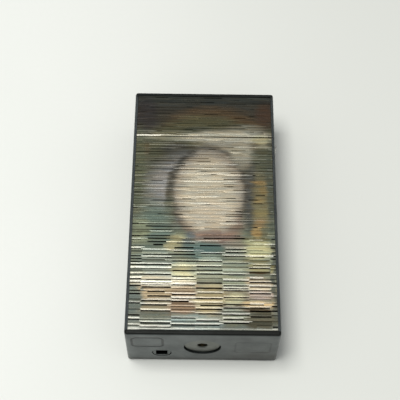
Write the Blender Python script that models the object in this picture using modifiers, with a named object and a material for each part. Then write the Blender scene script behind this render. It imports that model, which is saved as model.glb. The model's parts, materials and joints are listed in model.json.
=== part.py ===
"""A pocket gas lighter with flint ignition, lying on its back.

Metres, +Z up out of the textured front, +Y towards the cap, +X to the right.
The origin is the middle of the back face, which is the face it rests on.
Lengths are given in millimetres and turned into metres where a mesh is made.
"""

import math

import bmesh
import bpy
from mathutils import Vector

MM = 0.001

# Outside of the closed lighter
WIDTH = 34.0
LENGTH = 63.5
THICKNESS = 16.2
EDGE_ROUND = 0.6
HALF_WIDTH = WIDTH / 2
HALF_LENGTH = LENGTH / 2
MID_Z = THICKNESS / 2

# Case walls, and the panels let into the front and the back
SIDE_WALL = 0.9
PANEL_RECESS = 0.8
FACE_WALL = 0.6
SIDE_RIM = 0.65
TOP_RIM = 0.95
PANEL_THICKNESS = 0.62
PANEL_GAP = 0.1
CAVITY_X = HALF_WIDTH - SIDE_WALL
CAVITY_Z = (PANEL_RECESS + FACE_WALL, THICKNESS - PANEL_RECESS - FACE_WALL)

# Stations along the length
BASE_PLATE = 1.0
BASE_GAP = 0.08
PARTING_Y = 18.9
PARTING_GAP = 0.14
CAP_TOP_WALL = 1.25
CASE_BOTTOM = -HALF_LENGTH + BASE_PLATE + BASE_GAP
CASE_TOP = PARTING_Y - PARTING_GAP / 2
CAP_BOTTOM = PARTING_Y + PARTING_GAP / 2
CAP_CEILING = HALF_LENGTH - CAP_TOP_WALL

# Deck under the cap, and the gas tank under the deck
DECK_Y = (16.6, 18.2)
DECK_X = (-15.9, 13.2)
TANK_X = (-15.7, 12.3)
TANK_Y = (-28.7, 16.2)
TANK_Z = (1.7, 14.5)
TANK_WALL = 0.7
NECK_RADIUS = 2.3

# Filler valve and flame adjuster, in the middle of the base
FILLER_Z = 8.5
ADJUSTER_RADIUS = 4.0
ADJUSTER_SINK = 0.42
ADJUSTER_HOLE = 1.15

# Burner
BURNER_X = 0.0
CHIMNEY_HALF_X = 4.4
CHIMNEY_HALF_Z = 4.3
CHIMNEY_Y = (18.3, 27.2)
CHIMNEY_WALL = 0.45
LEVER_PIVOT = (8.0, 20.0)
LEVER_HALF_THICKNESS = 0.35
LEVER_Z = (6.2, 10.0)

# Flint, its tube, and the roller above it
FLINT_X = -9.1
FLINT_Z = 4.9
SOCKET_HALF = 1.3
FLINT_RADIUS = 1.15
FLINT_TUBE_RADIUS = 2.1
FLINT_BORE = 1.35
ROLLER_Y = 22.5
SPARK_WHEEL_RADIUS = 3.6
THUMB_RADIUS = 4.0
AXLE_RADIUS = 0.7
BRACKET_FRONT_Z = (13.2, 13.85)
BRACKET_REAR_Z = (1.9, 2.55)

# Cap hinge on the right-hand side
HINGE_X = HALF_WIDTH + 0.05
KNUCKLE_RADIUS = 0.75
HINGE_PIN_RADIUS = 0.36
HINGE_Z = (4.1, 12.1)
CAP_KNUCKLE_Z = (6.85, 9.35)
HINGE_NOTCH_RADIUS = 0.9
LEAF_X = (15.4, 15.95)

# Screws: x, z of each on the deck
DECK_SCREWS = {"deck_screw_left": (-13.4, 11.6), "deck_screw_right": (10.4, 3.6)}
BRACKET_SCREW = (10.9, MID_Z)

ALONG_X = (0, math.pi / 2, 0)
ALONG_Y = (-math.pi / 2, 0, 0)
ALONG_Z = (0, 0, 0)


# ---------------------------------------------------------------- scene and materials


def clear_scene():
    for obj in list(bpy.data.objects):
        bpy.data.objects.remove(obj)


def new_collection(name):
    collection = bpy.data.collections.new(name)
    bpy.context.scene.collection.children.link(collection)
    return collection


def metal(name, colour, roughness):
    return surface(name, colour, roughness, 1.0)


def surface(name, colour, roughness, metallic):
    material = bpy.data.materials.new(name)
    material.use_nodes = True
    shader = material.node_tree.nodes["Principled BSDF"]
    shader.inputs["Base Color"].default_value = (*colour, 1)
    shader.inputs["Roughness"].default_value = roughness
    shader.inputs["Metallic"].default_value = metallic
    return material


clear_scene()
PARTS = new_collection("pocket_lighter")
CUTTERS = new_collection("cutters")

GUNMETAL = metal("gunmetal", (0.10, 0.11, 0.115), 0.38)
SILVER = metal("tarnished_silver", (0.55, 0.53, 0.47), 0.35)
BRASS = metal("brass", (0.72, 0.52, 0.22), 0.3)
STEEL = metal("steel", (0.55, 0.56, 0.57), 0.3)
DARK_STEEL = metal("hardened_steel", (0.2, 0.2, 0.21), 0.42)
CHROME = metal("chrome", (0.78, 0.78, 0.8), 0.12)
RUBBER = surface("rubber", (0.02, 0.02, 0.02), 0.75, 0.0)
FLINT = surface("ferrocerium", (0.09, 0.085, 0.08), 0.6, 0.8)


# ---------------------------------------------------------------- shape helpers


def add(name, mesh, origin, rotation=ALONG_Z, material=None):
    """Links a mesh whose own origin sits at the given point, in millimetres."""
    obj = bpy.data.objects.new(name, mesh)
    obj.location = Vector(origin) * MM
    obj.rotation_euler = rotation
    if material:
        mesh.materials.append(material)
        PARTS.objects.link(obj)
    else:
        CUTTERS.objects.link(obj)
        obj.hide_render = True
        obj.display_type = "WIRE"
    return obj


def block(name, low, high, material=None):
    """A box between two corners."""
    low, high = Vector(low), Vector(high)
    shape = bmesh.new()
    bmesh.ops.create_cube(shape, size=1.0)
    bmesh.ops.scale(shape, vec=(high - low) * MM, verts=shape.verts)
    mesh = bpy.data.meshes.new(name)
    shape.to_mesh(mesh)
    shape.free()
    return add(name, mesh, (low + high) / 2, material=material)


def rod(name, radius, start, length, direction, material=None, sides=24):
    """A cylinder from a start point along one of the axes."""
    shape = bmesh.new()
    bmesh.ops.create_cone(
        shape, cap_ends=True, segments=sides, radius1=radius * MM, radius2=radius * MM, depth=length * MM
    )
    bmesh.ops.translate(shape, vec=(0, 0, length * MM / 2), verts=shape.verts)
    mesh = bpy.data.meshes.new(name)
    shape.to_mesh(mesh)
    shape.free()
    smooth(mesh)
    return add(name, mesh, start, direction, material)


def smooth(mesh):
    mesh.shade_smooth()
    mesh.set_sharp_from_angle(angle=math.radians(35))


def turned(name, profile, start, direction, material=None, sides=20, closed=False):
    """Turns (radius, height) points, listed down the outer side, about an axis through start."""
    count = len(profile)
    edges = [(i, i + 1) for i in range(count - 1)]
    if closed:
        edges.append((count - 1, 0))
    mesh = bpy.data.meshes.new(name)
    mesh.from_pydata([(r * MM, 0, h * MM) for r, h in profile], edges, [])
    obj = add(name, mesh, start, direction, material)
    screw = obj.modifiers.new("turn", "SCREW")
    screw.axis = "Z"
    screw.steps = screw.render_steps = sides
    screw.use_merge_vertices = True
    screw.merge_threshold = 0.00001
    screw.use_smooth_shade = False
    return obj


def plate(name, outlines, middle, thickness, direction=ALONG_Z, material=None):
    """A flat piece cut to the outlines (the first is the edge, the others holes)."""
    curve = bpy.data.curves.new(name, "CURVE")
    curve.dimensions = "2D"
    curve.fill_mode = "BOTH"
    curve.extrude = thickness * MM / 2
    for points in outlines:
        spline = curve.splines.new("POLY")
        spline.points.add(len(points) - 1)
        for point, (x, y) in zip(spline.points, points):
            point.co = (x * MM, y * MM, 0, 1)
        spline.use_cyclic_u = True
    return meshed(name, curve, middle, direction, material)


def meshed(name, curve, middle, direction, material):
    """The curve as a mesh object with its caps welded on."""
    source = bpy.data.objects.new(name + "_curve", curve)
    CUTTERS.objects.link(source)
    graph = bpy.context.evaluated_depsgraph_get()
    mesh = bpy.data.meshes.new_from_object(source.evaluated_get(graph))
    bpy.data.objects.remove(source)
    mesh.name = name
    shape = bmesh.new()
    shape.from_mesh(mesh)
    bmesh.ops.remove_doubles(shape, verts=shape.verts, dist=0.000001)
    shape.to_mesh(mesh)
    shape.free()
    mesh.materials.clear()
    return add(name, mesh, middle, direction, material)


def wire(name, points, radius, material):
    """A round wire through the points, in millimetres."""
    curve = bpy.data.curves.new(name, "CURVE")
    curve.dimensions = "3D"
    curve.bevel_depth = radius * MM
    curve.bevel_resolution = 2
    curve.use_fill_caps = True
    spline = curve.splines.new("POLY")
    spline.points.add(len(points) - 1)
    for point, place in zip(spline.points, points):
        point.co = (*(Vector(place) * MM), 1)
    return meshed(name, curve, (0, 0, 0), ALONG_Z, material)


def coil(name, centre, radius, wire_radius, low, high, turns, material, steps=8):
    """A compression spring about a line along Y, with its end turns closed up."""
    centre_x, centre_z = centre
    points = []
    count = turns * steps
    for i in range(count + 1):
        share = i / count
        angle = 2 * math.pi * turns * share
        eased = share - 0.35 / turns * math.sin(2 * math.pi * share)
        points.append(
            (
                centre_x + radius * math.cos(angle),
                low + wire_radius + (high - low - 2 * wire_radius) * eased,
                centre_z + radius * math.sin(angle),
            )
        )
    return wire(name, points, wire_radius, material)


def change(obj, other, operation):
    modifier = obj.modifiers.new(other.name, "BOOLEAN")
    modifier.operation = operation
    modifier.solver = "EXACT"
    modifier.object = other


def cut(obj, *cutters):
    for cutter in cutters:
        change(obj, cutter, "DIFFERENCE")


def keep(obj, limit):
    change(obj, limit, "INTERSECT")


def join(obj, *others):
    for other in others:
        change(obj, other, "UNION")


def arc(centre, radius, start, end, count):
    """Points along an arc, angles in degrees."""
    points = []
    for i in range(count + 1):
        angle = math.radians(start + (end - start) * i / count)
        points.append((centre[0] + radius * math.cos(angle), centre[1] + radius * math.sin(angle)))
    return points


def circle(centre, radius, count=24):
    return arc(centre, radius, 0, 360, count)[:-1]


def rounded_rectangle(half_x, half_y, radius, count=4):
    points = []
    for quarter, (side_x, side_y) in enumerate(((1, 1), (-1, 1), (-1, -1), (1, -1))):
        centre = (side_x * (half_x - radius), side_y * (half_y - radius))
        points += arc(centre, radius, 90 * quarter, 90 * quarter + 90, count)
    return points


def ribbon(path, thickness):
    """The outline of a flat strip seen edge on, following a path."""
    left, right = [], []
    for i, point in enumerate(path):
        before = Vector(path[max(i - 1, 0)])
        after = Vector(path[min(i + 1, len(path) - 1)])
        along = (after - before).normalized()
        aside = Vector((-along.y, along.x)) * thickness / 2
        left.append(tuple(Vector(point) + aside))
        right.append(tuple(Vector(point) - aside))
    return left + right[::-1]


def toothed(radius, depth, teeth, lean=0.5):
    """A ring of saw teeth. Lean 0.5 gives even flutes, and more gives a steep face."""
    points = []
    for i in range(teeth):
        step = 2 * math.pi / teeth
        for angle, r in ((i * step, radius), ((i + lean) * step, radius - depth)):
            points.append((r * math.cos(angle), r * math.sin(angle)))
    return points


# ---------------------------------------------------------------- case, base and panels


def outer_blank(name, low_y, high_y, material):
    """The closed lighter's rounded outside, kept between two stations along its length."""
    blank = block(
        name, (-HALF_WIDTH, -HALF_LENGTH, 0), (HALF_WIDTH, HALF_LENGTH, THICKNESS), material
    )
    bevel = blank.modifiers.new("rounded_edges", "BEVEL")
    bevel.width = EDGE_ROUND * MM
    bevel.segments = 3
    limit = block(
        name + "_limit",
        (-HALF_WIDTH - 1, low_y, -1),
        (HALF_WIDTH + 1, high_y, THICKNESS + 1),
    )
    keep(blank, limit)
    return blank


def cut_panel_recesses(obj, low_y, high_y):
    half = HALF_WIDTH - SIDE_RIM
    front = block(
        obj.name + "_front_recess", (-half, low_y, THICKNESS - PANEL_RECESS), (half, high_y, THICKNESS + 1)
    )
    back = block(obj.name + "_back_recess", (-half, low_y, -1), (half, high_y, PANEL_RECESS))
    cut(obj, front, back)


def cut_cavity(obj, low_y, high_y):
    cavity = block(
        obj.name + "_cavity", (-CAVITY_X, low_y, CAVITY_Z[0]), (CAVITY_X, high_y, CAVITY_Z[1])
    )
    cut(obj, cavity)


def cut_hinge_notch(obj, low_y, high_y):
    """Room in the right-hand wall for the knuckles and the leaves' arms."""
    low_z = HINGE_Z[0] - 0.25
    high_z = HINGE_Z[1] + 0.25
    slot = block(
        obj.name + "_hinge_slot", (CAVITY_X - 0.1, low_y, low_z), (HALF_WIDTH + 1, high_y, high_z)
    )
    round_slot = rod(
        obj.name + "_hinge_round",
        HINGE_NOTCH_RADIUS,
        (HINGE_X, PARTING_Y, low_z),
        high_z - low_z,
        ALONG_Z,
    )
    cut(obj, slot, round_slot)


def make_body_case():
    case = outer_blank("body_case", CASE_BOTTOM, CASE_TOP, GUNMETAL)
    cut_panel_recesses(case, CASE_BOTTOM - 1, CASE_TOP + 1)
    cut_cavity(case, CASE_BOTTOM - 1, CASE_TOP + 1)
    cut_hinge_notch(case, PARTING_Y - 0.8, PARTING_Y + 1)


def make_panel(name, low_y, high_y, on_front):
    half = HALF_WIDTH - SIDE_RIM - PANEL_GAP
    low_z = THICKNESS - PANEL_THICKNESS if on_front else 0
    block(name, (-half, low_y, low_z), (half, high_y, low_z + PANEL_THICKNESS), SILVER)


def make_panels():
    cap_top = HALF_LENGTH - TOP_RIM - PANEL_GAP
    for side, on_front in (("front", True), ("back", False)):
        make_panel(f"{side}_panel_body", CASE_BOTTOM + 0.05, CASE_TOP, on_front)
        make_panel(f"cap_{side}_panel", CAP_BOTTOM, cap_top, on_front)


def make_base_plate():
    """The end plate, with a spigot that fits inside the case."""
    plate_top = -HALF_LENGTH + BASE_PLATE
    base = outer_blank("base_plate", -HALF_LENGTH - 1, plate_top, GUNMETAL)
    spigot = block(
        "base_spigot",
        (-CAVITY_X + 0.2, plate_top - 0.3, CAVITY_Z[0] + 0.2),
        (CAVITY_X - 0.2, plate_top + 0.8, CAVITY_Z[1] - 0.2),
    )
    join(base, spigot)
    valve_hole = rod(
        "valve_hole", ADJUSTER_RADIUS + 0.15, (0, -HALF_LENGTH - 1, FILLER_Z), 5, ALONG_Y, sides=40
    )
    flint_hole = rod("flint_hole", 2.2, (FLINT_X, -HALF_LENGTH - 1, FLINT_Z), 5, ALONG_Y)
    cut(base, valve_hole, flint_hole)


def make_cap_shell():
    cap = outer_blank("cap_shell", CAP_BOTTOM, HALF_LENGTH + 1, GUNMETAL)
    cut_panel_recesses(cap, CAP_BOTTOM - 1, HALF_LENGTH - TOP_RIM)
    cut_cavity(cap, CAP_BOTTOM - 1, CAP_CEILING)
    cut_hinge_notch(cap, PARTING_Y - 1, PARTING_Y + 0.8)


# ---------------------------------------------------------------- tank and deck


def make_gas_tank():
    tank = block("gas_tank", (TANK_X[0], TANK_Y[0], TANK_Z[0]), (TANK_X[1], TANK_Y[1], TANK_Z[1]), BRASS)
    hollow = block(
        "tank_hollow",
        (TANK_X[0] + TANK_WALL, TANK_Y[0] + TANK_WALL, TANK_Z[0] + TANK_WALL),
        (TANK_X[1] - TANK_WALL, TANK_Y[1] - TANK_WALL, TANK_Z[1] - TANK_WALL),
    )
    cut(tank, hollow)
    length = TANK_Y[1] - TANK_Y[0]
    join(tank, rod("tank_flint_wall", 2.9, (FLINT_X, TANK_Y[0] + 0.3, FLINT_Z), length - 0.6, ALONG_Y))
    for name, (x, z) in DECK_SCREWS.items():
        join(tank, rod(name + "_lug", 1.75, (x, 12.4, z), 3.5, ALONG_Y, sides=20))
    cut(
        tank,
        rod("tank_flint_bore", 2.3, (FLINT_X, TANK_Y[0] - 1, FLINT_Z), length + 2, ALONG_Y),
        rod("filler_neck", NECK_RADIUS, (0, TANK_Y[0] - 1, FILLER_Z), 2.5, ALONG_Y),
        rod("burner_neck", NECK_RADIUS, (BURNER_X, TANK_Y[1] - 1.5, MID_Z), 3, ALONG_Y),
    )
    for name, (x, z) in DECK_SCREWS.items():
        cut(tank, rod(name + "_thread", 0.85, (x, 13.0, z), 4, ALONG_Y, sides=20))


def make_deck():
    deck = block("deck", (DECK_X[0], DECK_Y[0], 1.6), (DECK_X[1], DECK_Y[1], 14.6), STEEL)
    low = DECK_Y[0] - 1
    through = DECK_Y[1] - DECK_Y[0] + 2
    cut(
        deck,
        rod("deck_burner_hole", 3.3, (BURNER_X, low, MID_Z), through, ALONG_Y),
        rod("deck_flint_hole", FLINT_TUBE_RADIUS + 0.1, (FLINT_X, low, FLINT_Z), through, ALONG_Y),
        rod("deck_bracket_hole", 0.7, (BRACKET_SCREW[0], low, BRACKET_SCREW[1]), through, ALONG_Y, sides=16),
    )
    for name, (x, z) in DECK_SCREWS.items():
        cut(deck, rod(name + "_clearance", 0.9, (x, low, z), through, ALONG_Y, sides=20))
    for name, (low_z, high_z) in (("front", BRACKET_FRONT_Z), ("rear", BRACKET_REAR_Z)):
        slot = block(
            f"deck_{name}_slot",
            (FLINT_X - 1.8, low, low_z - 0.07),
            (FLINT_X + 1.8, low + through, high_z + 0.07),
        )
        cut(deck, slot)


def make_screw(name, x, z, seat_y, head_radius, head_height, shank_radius, shank_length):
    """A slotted screw whose head sits at seat_y and whose shank goes down from it."""
    screw = turned(
        name,
        (
            (0, head_height),
            (head_radius * 0.75, head_height),
            (head_radius, head_height * 0.6),
            (head_radius, 0),
            (shank_radius, 0),
            (shank_radius, 0.3 - shank_length),
            (shank_radius * 0.6, -shank_length),
            (0, -shank_length),
        ),
        (x, seat_y, z),
        ALONG_Y,
        STEEL,
        sides=20,
    )
    slot = block(
        name + "_slot",
        (x - head_radius - 1, seat_y + head_height * 0.45, z - 0.18),
        (x + head_radius + 1, seat_y + head_height + 1, z + 0.18),
    )
    cut(screw, slot)


def make_screws():
    for name, (x, z) in DECK_SCREWS.items():
        make_screw(name, x, z, DECK_Y[1] + 0.05, 1.3, 0.7, 0.75, 4.4)
    make_screw("bracket_screw", *BRACKET_SCREW, DECK_Y[1] + 0.6, 1.0, 0.6, 0.55, 2.0)


# ---------------------------------------------------------------- filler valve and adjuster


def make_flame_adjuster():
    """The disc in the base: it turns round the filler mouth, with a nick to turn it by."""
    face_y = -HALF_LENGTH + ADJUSTER_SINK
    adjuster = turned(
        "flame_adjuster",
        (
            (ADJUSTER_RADIUS, 1.2),
            (ADJUSTER_RADIUS, 0.15),
            (ADJUSTER_RADIUS - 0.15, 0),
            (ADJUSTER_HOLE + 0.2, 0),
            (ADJUSTER_HOLE, 0.2),
            (ADJUSTER_HOLE, 1.2),
        ),
        (0, face_y, FILLER_Z),
        ALONG_Y,
        GUNMETAL,
        sides=40,
        closed=True,
    )
    nick = block(
        "adjuster_nick",
        (-0.5, face_y - 1, FILLER_Z + ADJUSTER_RADIUS - 0.7),
        (0.5, face_y + 0.45, FILLER_Z + ADJUSTER_RADIUS + 1),
    )
    cut(adjuster, nick)


def make_filler_valve():
    """A cup screwed into the tank's bottom, with a flange and a groove for its seal."""
    turned(
        "filler_valve_body",
        (
            (0, 8.9),
            (1.8, 8.9),
            (2.2, 8.5),
            (2.2, 1.95),
            (1.6, 1.95),
            (1.6, 1.2),
            (2.2, 1.2),
            (2.2, 0.95),
            (3.5, 0.95),
            (3.5, 0.2),
            (3.3, 0),
            (1.1, 0),
            (1.1, 8.2),
            (0, 8.2),
        ),
        (0, -29.9, FILLER_Z),
        ALONG_Y,
        BRASS,
    )
    turned(
        "filler_stem",
        ((0, 5.6), (1.0, 5.6), (1.0, 4.6), (0.65, 4.6), (0.65, 0.2), (0.5, 0), (0, 0)),
        (0, -30.5, FILLER_Z),
        ALONG_Y,
        BRASS,
        sides=20,
    )
    coil("filler_spring", (0, FILLER_Z), 0.75, 0.16, -24.8, -21.8, 4, STEEL)
    make_oring("filler_oring", (0, -28.325, FILLER_Z))


def make_oring(name, centre):
    """A seal ring of round section, in a groove at a tank neck."""
    section = circle((1.93, 0), 0.29, 8)
    turned(name, section[::-1], centre, ALONG_Y, RUBBER, sides=16, closed=True)


# ---------------------------------------------------------------- burner and gas lever


def make_burner_valve():
    turned(
        "burner_valve_body",
        (
            (1.85, 17.6),
            (3.1, 17.6),
            (3.1, 16.35),
            (2.2, 16.35),
            (2.2, 16.2),
            (1.6, 16.2),
            (1.6, 15.45),
            (2.2, 15.45),
            (2.2, 7.3),
            (1.9, 7.0),
            (0, 7.0),
            (0, 7.8),
            (1.35, 7.8),
            (1.35, 16.1),
            (1.85, 16.1),
        ),
        (BURNER_X, 0, MID_Z),
        ALONG_Y,
        BRASS,
        closed=True,
    )
    make_oring("burner_oring", (BURNER_X, 15.825, MID_Z))
    turned(
        "burner_gland",
        (
            (2.4, 18.5),
            (2.6, 18.3),
            (2.6, 17.7),
            (1.75, 17.7),
            (1.75, 16.2),
            (0.85, 16.2),
            (0.85, 18.5),
        ),
        (BURNER_X, 0, MID_Z),
        ALONG_Y,
        BRASS,
        closed=True,
    )


def make_burner_jet():
    """The sliding nozzle: a piston on the spring, a collar for the lever's fork, and the tip."""
    turned(
        "burner_jet",
        (
            (0.18, 22.4),
            (0.5, 22.4),
            (0.75, 22.0),
            (0.75, 21.1),
            (1.5, 21.1),
            (1.5, 20.55),
            (0.75, 20.55),
            (0.75, 15.2),
            (1.25, 15.2),
            (1.25, 13.8),
            (0.6, 13.8),
            (0.6, 11.8),
            (0, 11.8),
            (0, 21.2),
            (0.18, 21.2),
        ),
        (BURNER_X, 0, MID_Z),
        ALONG_Y,
        BRASS,
        sides=16,
        closed=True,
    )
    coil("jet_spring", (BURNER_X, MID_Z), 1.0, 0.16, 7.95, 13.7, 5, STEEL)


def make_gas_lever():
    """A forked arm: its hub turns on the lever pin and its fork lifts the jet's collar."""
    pivot_x, pivot_y = LEVER_PIVOT
    arm = [
        (-2.4 - pivot_x, -LEVER_HALF_THICKNESS),
        (-1.05, -LEVER_HALF_THICKNESS),
        *arc((0, 0), 1.1, 200, 520, 14),
        (-1.05, LEVER_HALF_THICKNESS),
        (-2.4 - pivot_x, LEVER_HALF_THICKNESS),
    ]
    width = LEVER_Z[1] - LEVER_Z[0]
    lever = plate(
        "gas_lever",
        (arm, circle((0, 0), 0.57, 16)),
        (pivot_x, pivot_y, sum(LEVER_Z) / 2),
        width,
        material=STEEL,
    )
    fork = block("lever_fork_slot", (-3.5, pivot_y - 2, MID_Z - 1.0), (1.0, pivot_y + 2, MID_Z + 1.0))
    cut(lever, fork)


def make_lever_bracket():
    pivot_x, pivot_y = LEVER_PIVOT
    foot_y = DECK_Y[1] + 0.05
    outline = [
        (12.2, foot_y),
        (12.2, foot_y + 0.5),
        (9.6, foot_y + 0.5),
        *arc(LEVER_PIVOT, 1.2, 0, 180, 10),
        (6.4, foot_y + 0.5),
        (6.4, foot_y),
    ]
    low_z = LEVER_Z[0] - 0.8
    high_z = LEVER_Z[1] + 0.8
    bracket = plate(
        "lever_bracket",
        (outline, circle(LEVER_PIVOT, 0.53, 16)),
        (0, 0, (low_z + high_z) / 2),
        high_z - low_z,
        material=STEEL,
    )
    gap = block(
        "bracket_gap", (5, foot_y + 0.5, LEVER_Z[0] - 0.2), (13, pivot_y + 3, LEVER_Z[1] + 0.2)
    )
    hole = rod("bracket_screw_hole", 0.65, (BRACKET_SCREW[0], 15, BRACKET_SCREW[1]), 6, ALONG_Y, sides=16)
    cut(bracket, gap, hole)
    rod("lever_pin", 0.48, (pivot_x, pivot_y, low_z - 0.2), high_z - low_z + 0.4, ALONG_Z, STEEL, 16)


def make_wind_chimney():
    """An open-topped shroud: spark window to the left, lever window to the right, air holes at its faces."""
    low_y, high_y = CHIMNEY_Y
    inner = rounded_rectangle(CHIMNEY_HALF_X - CHIMNEY_WALL, CHIMNEY_HALF_Z - CHIMNEY_WALL, 0.8)
    chimney = plate(
        "wind_chimney",
        (rounded_rectangle(CHIMNEY_HALF_X, CHIMNEY_HALF_Z, 1.2), inner),
        (BURNER_X, (low_y + high_y) / 2, MID_Z),
        high_y - low_y,
        (math.pi / 2, 0, 0),
        CHROME,
    )
    spark_window = block("spark_window", (-6, 20.6, 5.6), (-3, 25.4, 10.6))
    lever_window = block("lever_window", (3, 18.9, LEVER_Z[0] - 0.25), (6, 21.9, LEVER_Z[1] + 0.25))
    cut(chimney, spark_window, lever_window)
    for i in range(3):
        hole = rod(f"air_hole_{i + 1}", 0.7, (BURNER_X + 2.3 * (i - 1), 24.6, -1), 20, ALONG_Z, sides=16)
        cut(chimney, hole)


# ---------------------------------------------------------------- flint and roller


def make_flint_train():
    turned(
        "flint_tube",
        (
            (FLINT_TUBE_RADIUS, 18.3),
            (FLINT_TUBE_RADIUS, -29.6),
            (1.6, -29.6),
            (1.6, -25.6),
            (FLINT_BORE, -25.4),
            (FLINT_BORE, 18.3),
        ),
        (FLINT_X, 0, FLINT_Z),
        ALONG_Y,
        BRASS,
        closed=True,
    )
    screw = turned(
        "flint_screw",
        (
            (0, 11.7),
            (0.4, 11.7),
            (0.4, 5.7),
            (1.2, 5.7),
            (1.5, 5.4),
            (1.5, 1.4),
            (2.15, 1.4),
            (2.15, 0.15),
            (2.0, 0),
            (0, 0),
        ),
        (FLINT_X, -HALF_LENGTH + 0.05, FLINT_Z),
        ALONG_Y,
        GUNMETAL,
    )
    socket = block(
        "flint_screw_socket",
        (FLINT_X - SOCKET_HALF, -HALF_LENGTH - 1, FLINT_Z - SOCKET_HALF),
        (FLINT_X + SOCKET_HALF, -HALF_LENGTH + 1.7, FLINT_Z + SOCKET_HALF),
    )
    cut(screw, socket)
    coil("flint_spring", (FLINT_X, FLINT_Z), 0.95, 0.2, -25.9, 3.9, 13, STEEL)
    turned(
        "flint_pusher",
        ((0, 13.5), (FLINT_RADIUS, 13.5), (FLINT_RADIUS, 11.8), (0.9, 11.6), (0.9, 4.2), (0, 4.2)),
        (FLINT_X, 0, FLINT_Z),
        ALONG_Y,
        BRASS,
        sides=20,
    )
    rod("flint", FLINT_RADIUS, (FLINT_X, 13.6, FLINT_Z), 5.15, ALONG_Y, FLINT, 24)


def make_roller():
    """The toothed spark wheel between two fluted thumb rollers, all turning on one axle."""
    bore = circle((0, 0), AXLE_RADIUS + 0.08, 20)
    wheels = (
        ("spark_wheel", toothed(SPARK_WHEEL_RADIUS, 0.35, 30, 0.85), (3.6, 6.2), DARK_STEEL),
        ("thumb_roller_front", toothed(THUMB_RADIUS, 0.22, 40), (6.35, 13.0), GUNMETAL),
        ("thumb_roller_rear", toothed(THUMB_RADIUS, 0.22, 40), (2.75, 3.45), GUNMETAL),
    )
    for name, outline, (low_z, high_z), material in wheels:
        middle = (FLINT_X, ROLLER_Y, (low_z + high_z) / 2)
        plate(name, (outline, bore), middle, high_z - low_z, material=material)
    rod("roller_axle", AXLE_RADIUS, (FLINT_X, ROLLER_Y, 1.75), 12.25, ALONG_Z, STEEL, 20)


def make_roller_bracket(name, low_z, high_z):
    """An upright ear, staked into a slot in the deck."""
    ear = [
        (-1.7, 16.9),
        (1.7, 16.9),
        (1.7, DECK_Y[1] + 0.05),
        (2.6, DECK_Y[1] + 0.05),
        (2.6, 19.4),
        *arc((0, ROLLER_Y), 1.9, -10, 190, 14),
        (-2.6, 19.4),
        (-2.6, DECK_Y[1] + 0.05),
        (-1.7, DECK_Y[1] + 0.05),
    ]
    hole = circle((0, ROLLER_Y), AXLE_RADIUS + 0.05, 20)
    plate(name, (ear, hole), (FLINT_X, 0, (low_z + high_z) / 2), high_z - low_z, material=STEEL)


# ---------------------------------------------------------------- hinge, cam and presser


def make_hinge():
    pin_hole = HINGE_PIN_RADIUS + 0.05
    axis = (HINGE_X, PARTING_Y)
    sections = (
        ("hinge_leaf_body", (2.5, 18.72), (18.22, 18.72), (HINGE_Z[0], CAP_KNUCKLE_Z[0] - 0.1), "lower"),
        ("hinge_leaf_cap", (19.08, 27.0), (19.08, 19.58), CAP_KNUCKLE_Z, "middle"),
    )
    for name, leaf_y, arm_y, knuckle_z, place in sections:
        leaf = block(name, (LEAF_X[0], leaf_y[0], HINGE_Z[0]), (LEAF_X[1], leaf_y[1], HINGE_Z[1]), STEEL)
        spans = [knuckle_z]
        if place == "lower":
            spans.append((CAP_KNUCKLE_Z[1] + 0.1, HINGE_Z[1]))
        for i, (low_z, high_z) in enumerate(spans):
            arm = block(f"{name}_arm_{i}", (LEAF_X[0] + 0.1, arm_y[0], low_z), (HINGE_X, arm_y[1], high_z))
            knuckle = rod(
                f"{name}_knuckle_{i}",
                KNUCKLE_RADIUS,
                (*axis, low_z),
                high_z - low_z,
                ALONG_Z,
                sides=24,
            )
            join(leaf, arm, knuckle)
        cut(leaf, rod(f"{name}_pin_hole", pin_hole, (*axis, 0), THICKNESS, ALONG_Z, sides=20))
        if place == "lower":
            cut(leaf, rod("leaf_rivet_hole", 0.6, (14, 5.0, MID_Z), 4, ALONG_X, sides=16))
    length = HINGE_Z[1] - HINGE_Z[0] + 0.3
    rod("hinge_pin", HINGE_PIN_RADIUS, (*axis, HINGE_Z[0] - 0.15), length, ALONG_Z, STEEL, 20)


def make_cap_cam():
    """A lobe on the cap's leaf that the leaf spring presses on."""
    lobe = [
        (15.25, 22.0),
        (14.5, 22.0),
        *arc((15.2, 18.7), 1.35, 165, 262, 8),
        (15.25, 17.45),
    ]
    plate("cap_cam", (lobe,), (0, 0, MID_Z), 2.3, material=DARK_STEEL)


def make_cap_spring():
    path = (
        (15.05, 3.0),
        (15.05, 8.0),
        (14.7, 10.2),
        (14.15, 12.4),
        (13.95, 14.4),
        (14.15, 16.2),
        (14.6, 16.95),
    )
    spring = plate("cap_spring", (ribbon(path, 0.35),), (0, 0, MID_Z), 3.4, material=STEEL)
    cut(spring, rod("spring_rivet_hole", 0.6, (13, 5.0, MID_Z), 5, ALONG_X, sides=16))
    turned(
        "spring_rivet",
        ((0, 1.65), (0.5, 1.65), (0.5, 0.45), (0.95, 0.45), (0.95, 0.2), (0.5, 0), (0, 0)),
        (14.33, 5.0, MID_Z),
        ALONG_X,
        STEEL,
        sides=20,
    )


def make_lever_presser():
    """A post under the cap's top that holds the gas lever down while the cap is shut."""
    presser = block("lever_presser", (4.95, 20.6, 7.2), (5.85, 30.0, 9.0), STEEL)
    join(presser, block("presser_flange", (4.2, 29.7, 6.2), (7.2, 30.35, 10.0)))


make_body_case()
make_panels()
make_base_plate()
make_cap_shell()
make_gas_tank()
make_deck()
make_screws()
make_flame_adjuster()
make_filler_valve()
make_burner_valve()
make_burner_jet()
make_gas_lever()
make_lever_bracket()
make_wind_chimney()
make_flint_train()
make_roller()
make_roller_bracket("roller_bracket_front", *BRACKET_FRONT_Z)
make_roller_bracket("roller_bracket_rear", *BRACKET_REAR_Z)
make_hinge()
make_cap_cam()
make_cap_spring()
make_lever_presser()
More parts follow.
